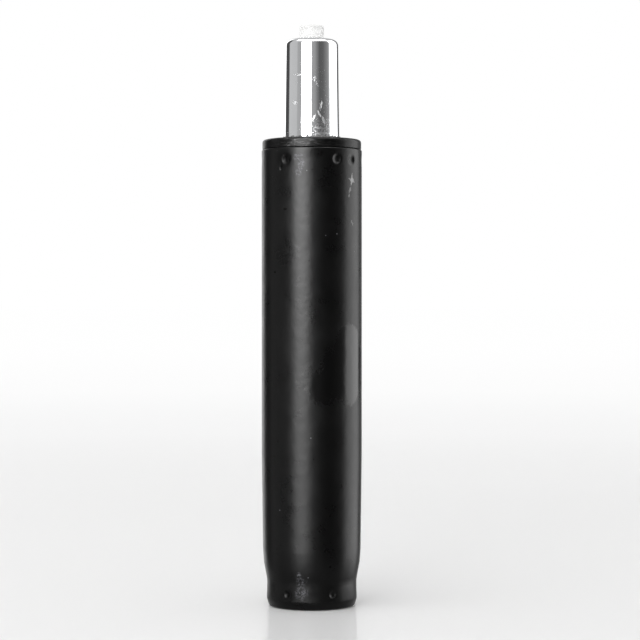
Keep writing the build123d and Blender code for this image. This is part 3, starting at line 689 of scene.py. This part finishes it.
def makePowderCoat(settings):
    # Polyester powder coat on steel, baked: deep black with a low sheen, a fine orange peel and handling marks, and
    # light specks painted where the key highlight falls as painted highlight glitter
    material, coords, noises = newMaterial("blackPowderCoat", settings["patterns"])
    tree = material.node_tree
    masks = {
        kind: groupMask(tree, coords, settings["radius"], settings[kind])
        for kind in ("scuffs", "rubbed", "speckled", "dulled", "knocks")
    }
    dull = addNode(tree, "ShaderNodeMath", {0: masks["dulled"], 1: masks["knocks"]}, operation="MAXIMUM")
    shine = addNode(
        tree, "ShaderNodeMix", {0: masks["rubbed"], 2: settings["specular"], 3: settings["rubbedSpecular"]},
        data_type="FLOAT",
    )
    shine = addNode(tree, "ShaderNodeMix", {0: dull, 2: shine, 3: settings["dullSpecular"]}, data_type="FLOAT")
    tree.links.new(shine.outputs[0], tree.nodes["Principled BSDF"].inputs["Specular IOR Level"])
    # specks show only in the speckled patches, where the key highlight falls: painted highlight glitter
    none, full = settings["speckSpan"]
    specks = addNode(tree, "ShaderNodeMapRange", {"Value": noises["specks"], "From Min": none, "From Max": full})
    specks = addNode(tree, "ShaderNodeMath", {0: specks, 1: masks["speckled"]}, operation="MULTIPLY")
    dust = settings["dust"]
    cells = addNode(
        tree, "ShaderNodeTexVoronoi", {"Vector": coords, "Scale": perMetre(dust["spacing"])}, feature="F1"
    ).outputs
    near = addNode(
        tree, "ShaderNodeMapRange",
        {"Value": cells["Distance"], "From Min": dust["radius"], "From Max": dust["core"]},
    )
    picked = addNode(tree, "ShaderNodeSeparateColor", {0: cells["Color"]})
    picked = addNode(tree, "ShaderNodeMath", {0: picked, 1: dust["none"]}, operation="GREATER_THAN")
    dusty = addNode(tree, "ShaderNodeMath", {0: near, 1: picked}, operation="MULTIPLY")
    # painted highlight specks and real dust specks, both lightened to the same grey
    light = addNode(tree, "ShaderNodeMath", {0: specks, 1: dusty}, operation="MAXIMUM")
    colour, rough = mottle(tree, settings, noises["clouds"], noises["clouds"])
    for mask, layer in ((light, "dustAndGlintGrey"), (masks["scuffs"], "worn"), (masks["knocks"], "knocked")):
        colour = addNode(
            tree, "ShaderNodeMix", {0: mask, 6: colour.outputs[2], 7: toLinear(settings[layer])}, data_type="RGBA"
        )
    marks = addNode(tree, "ShaderNodeMath", {0: masks["scuffs"], 1: masks["knocks"]}, operation="MAXIMUM")
    for mask, layer in ((masks["rubbed"], "rubbedRoughness"), (marks, "markedRoughness")):
        rough = addNode(tree, "ShaderNodeMix", {0: mask, 2: rough, 3: settings[layer]}, data_type="FLOAT")
    kept = addNode(
        tree, "ShaderNodeMath", {0: masks["rubbed"], 1: -settings["peelRubbedOff"], 2: 1.0}, operation="MULTIPLY_ADD"
    )
    height = addNode(tree, "ShaderNodeMath", {0: noises["peel"], 1: kept}, operation="MULTIPLY")
    for factor, lift in ((noises["waves"], settings["waveHeight"]), (masks["knocks"], -settings["knockDepth"])):
        height = addNode(tree, "ShaderNodeMath", {0: factor, 1: lift, 2: height}, operation="MULTIPLY_ADD")
    return endMaterial(material, colour, rough, height, settings["relief"])


chromeSettings = {
    "colours": ("#dcdddf", "#e8e9ea"),
    # waves and polishing lines run along the tube
    "patterns": {
        "film": (9, 3.0, 0.6), "waves": (2.2, 2.0, 0.5, 0.05), "dimples": (1.6, 3.0, 0.6),
        "specks": (0.8, 3.0, 0.75), "lines": (0.5, 2.0, 0.6, 0.02),
    },
    "roughness": 0.06,
    "wornRoughness": 0.27,
    "lineRoughness": 0.12,
    "lineSpan": (0.6, 0.75),
    "dimpleHeight": 0.35,
    "relief": (0.5, 0.05),
    # specks show where their noise is above a level, which is lower in the speckled zones
    "specks": {"level": 0.66, "zoneLevel": 0.5, "edge": 0.08},
    "radius": 13.8,
    # where grit in the bush has pitted the tube
    "speckled": [
        {"ragged": 0.9, "grain": 2.0, "soft": 0.5},
        (24, 236, 6.0, 6.5, {"ragged": 0.6}),
        (26, 248, 3.0, 8.0, {"level": 0.6}),
        (18, 262, 3.5, 9.0, {"level": 0.5}),
        (-52, 234, 5.0, 3.0, {"level": 0.8}),
        (150, 236, 16.0, 5.0, {"deep": 9}),
    ],
    "scratches": [
        {"ragged": 0.9, "grain": 0.5, "level": 0.8},
        (6.5, 261.5, 0.7, 1.6, {"tilt": 4, "ragged": 0.8, "grain": 0.6}),
        (12.0, 258.8, 0.4, 1.5, {"tilt": -24, "ragged": 0.8}),
        (19.5, 248.0, 0.5, 2.4, {"tilt": 10, "level": 1.3}),
        (5.0, 242.2, 0.5, 1.6, {"tilt": 24, "ragged": 0.7, "grain": 0.4, "level": 1.0}),
        (16.0, 244.0, 0.5, 2.0, {"tilt": -28, "grain": 0.4, "level": 1.4}),
        (25.0, 241.0, 0.6, 2.2, {"tilt": -20, "level": 1.3}),
        (17.0, 237.0, 2.4, 0.5, {"tilt": 6, "ragged": 1.4, "grain": 0.8, "level": 1.0}),
        (22.0, 234.4, 3.2, 0.6, {"tilt": -3, "ragged": 1.4, "grain": 0.8, "level": 1.0}),
        (-39.0, 249.6, 1.6, 1.2, {"ragged": 0.8, "grain": 0.9, "soft": 0.6, "level": 1.2}),
        (-33.0, 263.4, 2.4, 0.35, {"ragged": 1.2, "grain": 0.8, "soft": 0.4, "level": 0.9}),
        (-35.0, 259.5, 1.2, 0.4, {"grain": 0.7, "level": 0.6}),
    ],
}


def makeChrome(settings):
    # Hard chrome on ground steel tube: a mirror with faint lengthwise waves, and scratches near the bush
    material, coords, noises = newMaterial("hardChrome", settings["patterns"], Metallic=1.0)
    tree = material.node_tree
    height = addNode(
        tree, "ShaderNodeMath", {0: noises["dimples"], 1: settings["dimpleHeight"], 2: noises["waves"]},
        operation="MULTIPLY_ADD",
    )
    zones, scratched = (
        groupMask(tree, coords, settings["radius"], settings[kind]) for kind in ("speckled", "scratches")
    )
    specks = settings["specks"]
    least = addNode(
        tree, "ShaderNodeMapRange", {"Value": zones, "To Min": specks["level"], "To Max": specks["zoneLevel"]}
    )
    worn = addNode(tree, "ShaderNodeMath", {0: noises["specks"], 1: least}, operation="SUBTRACT")
    worn = addNode(tree, "ShaderNodeMapRange", {"Value": worn, "From Min": 0.0, "From Max": specks["edge"]})
    worn = addNode(tree, "ShaderNodeMath", {0: worn, 1: scratched}, operation="MAXIMUM")
    none, full = settings["lineSpan"]
    lines = addNode(
        tree, "ShaderNodeMapRange",
        {"Value": noises["lines"], "From Min": none, "From Max": full, "To Max": settings["lineRoughness"]},
    )
    rough = addNode(
        tree, "ShaderNodeMath", {0: worn, 1: settings["wornRoughness"], 2: lines}, operation="MULTIPLY_ADD"
    )
    rough = addNode(tree, "ShaderNodeMath", {0: rough, 1: settings["roughness"]}, operation="ADD")
    bare, filmed = settings["colours"]
    colour = addNode(
        tree, "ShaderNodeMix", {0: noises["film"], 6: toLinear(bare), 7: toLinear(filmed)}, data_type="RGBA"
    )
    return endMaterial(material, colour, rough, height, settings["relief"])


nylonSettings = {
    "shine": 0.12,
    "colours": ("#040404", "#7a7a7a"),
    "roughness": (0.27, 0.37),
    # the streaks are squeezed to lie round the axis
    "patterns": {"clouds": (5, 4.0, 0.65), "streaks": (3.2, 5.0, 0.75, 6.0), "grain": (0.6, 3.0, 0.6)},
    "streakSpan": (0.5, 0.66),
    "streakShare": 0.1,  # of the grey that shows all over
    "relief": (0.4, 0.05),
    "radius": 24.6,
    # the grey streaks are stronger here, at -13° on the collar where the key highlight falls: real worn streaks and
    # painted highlight streaks together
    "scuffAndHighlightStreaks": [{"deep": 7, "ragged": 0.8, "grain": 2.5, "soft": 0.5}, (-13, 229.6, 7, 2.2, {})],
}


def makeBlackNylon(settings):
    # Moulded black nylon: satin, with rubbed grey streaks round the collar. Where the key highlight falls on the
    # collar the grey streaks are stronger, and there they are partly a painted highlight.
    material, coords, noises = newMaterial("blackNylon", settings["patterns"], Specular_IOR_Level=settings["shine"])
    tree = material.node_tree
    none, full = settings["streakSpan"]
    streaks = addNode(tree, "ShaderNodeMapRange", {"Value": noises["streaks"], "From Min": none, "From Max": full})
    scuffAndHighlightStreaks = groupMask(tree, coords, settings["radius"], settings["scuffAndHighlightStreaks"])
    wearAndHighlightStreaks = addNode(tree, "ShaderNodeMath", {0: streaks, 1: scuffAndHighlightStreaks}, operation="MULTIPLY")
    wearAndHighlightStreaks = addNode(
        tree, "ShaderNodeMath", {0: streaks, 1: settings["streakShare"], 2: wearAndHighlightStreaks}, operation="MULTIPLY_ADD"
    )
    colour, rough = mottle(tree, settings, wearAndHighlightStreaks, noises["clouds"])
    return endMaterial(material, colour, rough, noises["grain"], settings["relief"])


# Moulded in one colour

mouldedSettings = {
    # Acetal: white, with a soft sheen and hardly any grain
    "white_plastic": {
        "name": "whiteAcetal", "shine": 0.06, "colours": ("#ebebea", "#ededec"), "roughness": (0.4, 0.5),
        "patterns": {"blotches": (3, 4.0, 0.6), "grain": (0.4, 2.0, 0.5)}, "relief": (0.03, 0.02),
    },
    # Nylon with no colour added: cream, with faint flow clouds and a fine grain
    "natural_plastic": {
        "name": "naturalNylon", "shine": 0.2, "colours": ("#d6d0bf", "#e6e1d3"), "roughness": (0.37, 0.47),
        "patterns": {"blotches": (3, 4.0, 0.6), "grain": (0.4, 2.0, 0.5)}, "relief": (0.1, 0.02),
    },
    # Nitrile rubber: matt black with a grey bloom
    "black_rubber": {
        "name": "nitrileRubber", "shine": 0.3, "colours": ("#141414", "#2b2b2a"), "roughness": (0.55, 0.75),
        "patterns": {"blotches": (2.5, 5.0, 0.7), "grain": (0.3, 2.0, 0.5)}, "relief": (0.4, 0.04),
    },
}
# Bearing grease gone black with dust: wet, and lumpy by its own blotches
greaseSettings = {
    "name": "dirtyGrease", "shine": 0.5, "colours": ("#070707", "#1d1b19"), "roughness": (0.25, 0.5),
    "patterns": {"blotches": (0.7, 4.0, 0.65)}, "relief": (0.7, 0.15),
}


def makeMoulded(settings):
    material, _, noises = newMaterial(settings["name"], settings["patterns"], Specular_IOR_Level=settings["shine"])
    blotches = noises["blotches"]
    colour, rough = mottle(material.node_tree, settings, blotches, blotches)
    return endMaterial(material, colour, rough, noises.get("grain", blotches), settings["relief"])


# Metals. Real tool marks are about 0.1 mm apart; drawn at the pitch given so that they show.

turnedSettings = {
    # Mild steel, turned and left bright
    "steel": {"name": "turnedSteel", "colours": ("#8d8f92", "#b9bbbe"), "roughness": (0.4, 0.3), "pitch": 0.35},
    # Hardened bearing steel, ground: lighter and smoother
    "bearing_steel": {
        "name": "groundBearingSteel", "colours": ("#b6b8bb", "#cfd1d3"), "roughness": (0.26, 0.16), "pitch": 0.2,
    },
    # Spring steel, blackened in the hardening oil: dark grey and dull
    "spring_steel": {
        "name": "blackenedSpringSteel", "colours": ("#353437", "#4c4b4d"), "roughness": (0.46, 0.36), "pitch": 0.3,
    },
    # Aluminium, turned: pale and soft
    "aluminium": {
        "name": "turnedAluminium", "colours": ("#c9cbce", "#e0e1e3"), "roughness": (0.36, 0.26), "pitch": 0.3,
    },
    # Brass, turned: yellow, with browner stains
    "brass": {"name": "turnedBrass", "colours": ("#b8964a", "#d9bd6a"), "roughness": (0.36, 0.26), "pitch": 0.3},
}
turnedSurface = {"patterns": {"stains": (4, 5.0, 0.65)}, "wobble": 0.6, "relief": (0.3, 0.02)}


def makeTurnedMetal(settings, surface):
    # Fine tool rings round the axis on the ends, thread-like lines on the sides, and stains
    material, coords, noises = newMaterial(settings["name"], surface["patterns"], Metallic=1.0)
    tree = material.node_tree
    # a wave texture repeats every pi / 10 over its scale
    tooling = {"Vector": coords, "Scale": pi / 10 * perMetre(settings["pitch"]), "Distortion": surface["wobble"]}
    rings = addNode(tree, "ShaderNodeTexWave", tooling, wave_type="RINGS", rings_direction="Z")
    bands = addNode(tree, "ShaderNodeTexWave", tooling, wave_type="BANDS", bands_direction="Z")
    lines = addNode(tree, "ShaderNodeMath", {0: rings.outputs["Fac"], 1: bands.outputs["Fac"]}, operation="ADD")
    colour, rough = mottle(tree, settings, noises["stains"], noises["stains"])
    return endMaterial(material, colour, rough, lines, surface["relief"])


finishes = {
    "black_powder_coat": makePowderCoat(powderSettings),
    "black_plastic": makeBlackNylon(nylonSettings),
    "chrome": makeChrome(chromeSettings),
}
finishes.update({slot: makeMoulded(settings) for slot, settings in mouldedSettings.items()})
finishes.update({slot: makeTurnedMetal(settings, turnedSurface) for slot, settings in turnedSettings.items()})
grease = makeMoulded(greaseSettings)
print("materials made")

for subpart in frame["record"]["subparts"]:
    mesh = frame["nodes"][subpart["node"]].data
    mesh.materials.clear()
    mesh.materials.append(finishes[subpart["material_slot"]])

# Column

columnSettings = {
    "body": "column", "slot": "black_powder_coat", "node": "outer_tube",
    "segments": 384,
    "fineZones": [(3.5, 12.5), (216.5, 226.3)],
    "fineSpacing": 0.5,
    "corners": [
        (15.5, 0, 0.5), (21.379, 0, 1), (22.479, 3.6, 4), (22.26, 13.2, 12), (24.329, 21.5, 60), (25, 75),
        (25, 227, 0.7), (23, 227, 0.3), (23, 75), (22.329, 21.5, 38), (20.129, 11.5, 14), (20.479, 2, 1.5),
        (15.5, 2, 0.5),
    ],
    "wall": 2,
    "punches": {
        "top": {"Height": 221.3, "Punch_Radius": 4.2, "Depth": 0.9, "Surface_Radius": 25, "Lip": 0.5},
        "foot": {"Height": 7.7, "Punch_Radius": 3.2, "Depth": 0.6, "Surface_Radius": 22.244, "Lip": 0.4},
    },
    # punch, how many strikes round the column, and the angle of the first
    "rows": [("top", 6, -30), ("top", 1, 52), ("foot", 6, -32)],
}


def makeColumn(settings, material):
    column = turnedPiece("column_shell", settings, material)
    for punch, count, start in settings["rows"]:
        sizes = {key: value * mm for key, value in settings["punches"][punch].items()}
        addTree(
            column, punchTree, Count=count, Start_Angle=radians(start), Wall=settings["wall"] * mm,
            Material=material, **sizes,
        )
    place(column, settings)


makeColumn(columnSettings, finishes["black_powder_coat"])

# Guide bush, with its collar on the column

bushSettings = {
    "body": "column", "slot": "black_plastic", "node": "guide_bush",
    "segments": 256,
    "corners": [
        (14.08, 158, 0.3), (15.08, 157, 0.3), (21.95, 157, 0.3), (22.95, 158, 0.3), (22.95, 163, 0.2),
        (18.08, 163, 0.5), (18.08, 184.342, 0.5), (22.95, 184.342, 0.2), (22.95, 190.342, 0.2),
        (18.08, 190.342, 0.5), (18.08, 211.683, 0.5), (22.95, 211.683, 0.2), (22.95, 217.683, 0.2),
        (21.65, 217.683, 0.3), (21.65, 224.917, 0.3), (22.95, 224.917, 0.2), (22.95, 227), (24.25, 227, 0.1),
        (24.65, 227.4, 0.15), (24.65, 232, 1.5), (15.08, 232, 0.3), (14.08, 231, 0.3),
    ],
    "ribCount": 12,
    "rib": {"width": 2, "inside": 17.58, "outside": 22.65, "low": 162.8, "high": 211.9, "edge": 0.25, "steps": 3},
}


def addRing(piece, name, shape, count, material):
    # the shape, drawn at the front, is repeated round the axis as part of the piece
    mesh = bpy.data.meshes.new(name)
    shape.to_mesh(mesh)
    shape.free()
    part = bpy.data.objects.new(name, mesh)
    scene.collection.objects.link(part)
    addTree(piece, ringTree, Count=count, Start_Angle=0.0, Part=part, Material=material)
    return part


def makeBush(settings, material):
    rib = settings["rib"]
    shape = bmesh.new()
    bmesh.ops.create_cube(shape, size=mm)
    size = (rib["width"], rib["outside"] - rib["inside"], rib["high"] - rib["low"])
    bmesh.ops.scale(shape, verts=shape.verts, vec=size)
    middle = Vector((0, -(rib["inside"] + rib["outside"]) / 2, (rib["low"] + rib["high"]) / 2)) * mm
    bmesh.ops.translate(shape, verts=shape.verts, vec=middle)
    upright = [edge for edge in shape.edges if abs(edge.verts[0].co.z - edge.verts[1].co.z) > mm]
    bmesh.ops.bevel(
        shape, geom=upright, offset=rib["edge"] * mm, segments=rib["steps"], affect="EDGES", profile=0.5
    )
    bush = turnedPiece("guide_bush_moulding", settings, material)
    part = addRing(bush, "rib", shape, settings["ribCount"], material)
    place(bush, settings)
    bpy.data.objects.remove(part)


makeBush(bushSettings, finishes["black_plastic"])

# Grease that the bush wipes off the tube

beadSettings = {
    "body": "column", "slot": "black_plastic",
    "segments": 320,
    "corners": [(14.03, 231.4), (15.2, 231.7), (15.25, 232.1, 0.15), (14.6, 232.45, 0.3), (14.05, 232.9)],
    "foot": 232.2,
    "rise": 1.0,
    "spacing": 1.6,
}


def makeBead(settings, material):
    bead = turnedPiece("wiped_grease", settings, material)
    addTree(
        bead, raggedTree, Foot=settings["foot"] * mm, Rise=settings["rise"] * mm, Spacing=settings["spacing"] * mm,
        Material=material,
    )
    place(bead, settings)


makeBead(beadSettings, grease)

# Plainly turned: the base plug, its washer and the rod, then the pressure tube, its insert and the button

turnedPieces = {
    "base_plug_turning": {
        "body": "column", "slot": "steel", "node": "base_plug",
        "segments": 192,
        "corners": [
            (4.05, 7.5, 0.2), (12.5, 7.5, 0.4), (12.5, 2, 0.4), (18.579, 2), (20.079, 3.5), (20.079, 4.875, 0.1),
            (19.079, 4.875), (19.079, 10.525), (20.079, 10.525, 0.1), (20.079, 11.4, 0.1), (19.479, 12, 0.1),
            (13.55, 12, 0.2), (13.55, 11), (4.05, 11, 0.2),
        ],
    },
    "rod_washer_blank": {
        "body": "rod", "slot": "steel", "node": "rod_washer",
        "segments": 128,
        "corners": [(4.05, 6.2, 0.15), (9, 6.2, 0.25), (9, 7.4, 0.2), (4.05, 7.4, 0.1)],
    },
    "piston_rod_ground": {
        "body": "rod", "slot": "chrome", "node": "piston_rod",
        "segments": 96,
        "corners": [
            (0, 3), (3.2, 3, 0.15), (4, 3.8, 0.15), (4, 4.95, 0.05), (3.1, 4.95), (3.1, 6.25), (4, 6.25, 0.05),
            (4, 18.5), (5, 18.5, 0.1), (5, 202.8, 0.2), (4, 202.8), (4, 223.5, 0.1), (3.2, 224.3, 0.1), (0, 224.3),
        ],
    },
    "pressure_tube_chromed": {
        "body": "cylinder", "slot": "chrome", "node": "pressure_tube",
        "segments": 320,
        "arcStep": 6,
        "corners": [
            (7.5, 32.3, 0.4), (14, 32.3, 2.5), (14, 220), (13.222, 282, 3), (8.5, 282, 0.5), (8.5, 280.5, 0.3),
            (11.722, 280.5, 1.5), (12.5, 220), (12.5, 33.8, 1), (7.5, 33.8, 0.4),
        ],
    },
    "button_insert": {
        "body": "cylinder", "slot": "white_plastic", "node": "valve_retainer",
        "segments": 160,
        "corners": [
            (6.08, 274.5, 0.2), (11.672, 274.5, 0.2), (11.672, 279, 0.1), (10.172, 280.5, 0.1), (8.45, 280.5),
            (8.45, 281.5, 0.3), (6.08, 281.5, 0.5),
        ],
    },
    "button_moulding": {
        "body": "release", "slot": "white_plastic", "node": "release_button",
        "segments": 160,
        "arcStep": 6,
        "corners": [
            (0, 279.95), (2.55, 279.95), (2.55, 271.95, 0.2), (7.7, 271.95, 0.3), (7.7, 274.45, 0.3),
            (6, 274.45, 0.2), (6, 289, 0.9), (1.5, 289, 0.15), (1.3, 288.75, 0.15), (0, 288.75),
        ],
    },
}
for name, settings in turnedPieces.items():
    place(turnedPiece(name, settings, finishes[settings["slot"]]), settings)

# Bearing balls

ballSettings = {
    "body": "bearing", "slot": "bearing_steel", "node": "bearing_balls",
    "count": 10, "pitch": 9.5, "height": 14.75, "radius": 2, "segments": 32, "rings": 16,
}


def makeBalls(settings, material):
    shape = bmesh.new()
    bmesh.ops.create_uvsphere(
        shape, u_segments=settings["segments"], v_segments=settings["rings"], radius=settings["radius"] * mm
    )
    bmesh.ops.translate(shape, verts=shape.verts, vec=(0, -settings["pitch"] * mm, settings["height"] * mm))
    for face in shape.faces:
        face.smooth = True
    balls = newPiece("bearing_ball_set", [], material)
    part = addRing(balls, "ball", shape, settings["count"], material)
    place(balls, settings)
    bpy.data.objects.remove(part)


makeBalls(ballSettings, finishes["bearing_steel"])

print("pieces made")
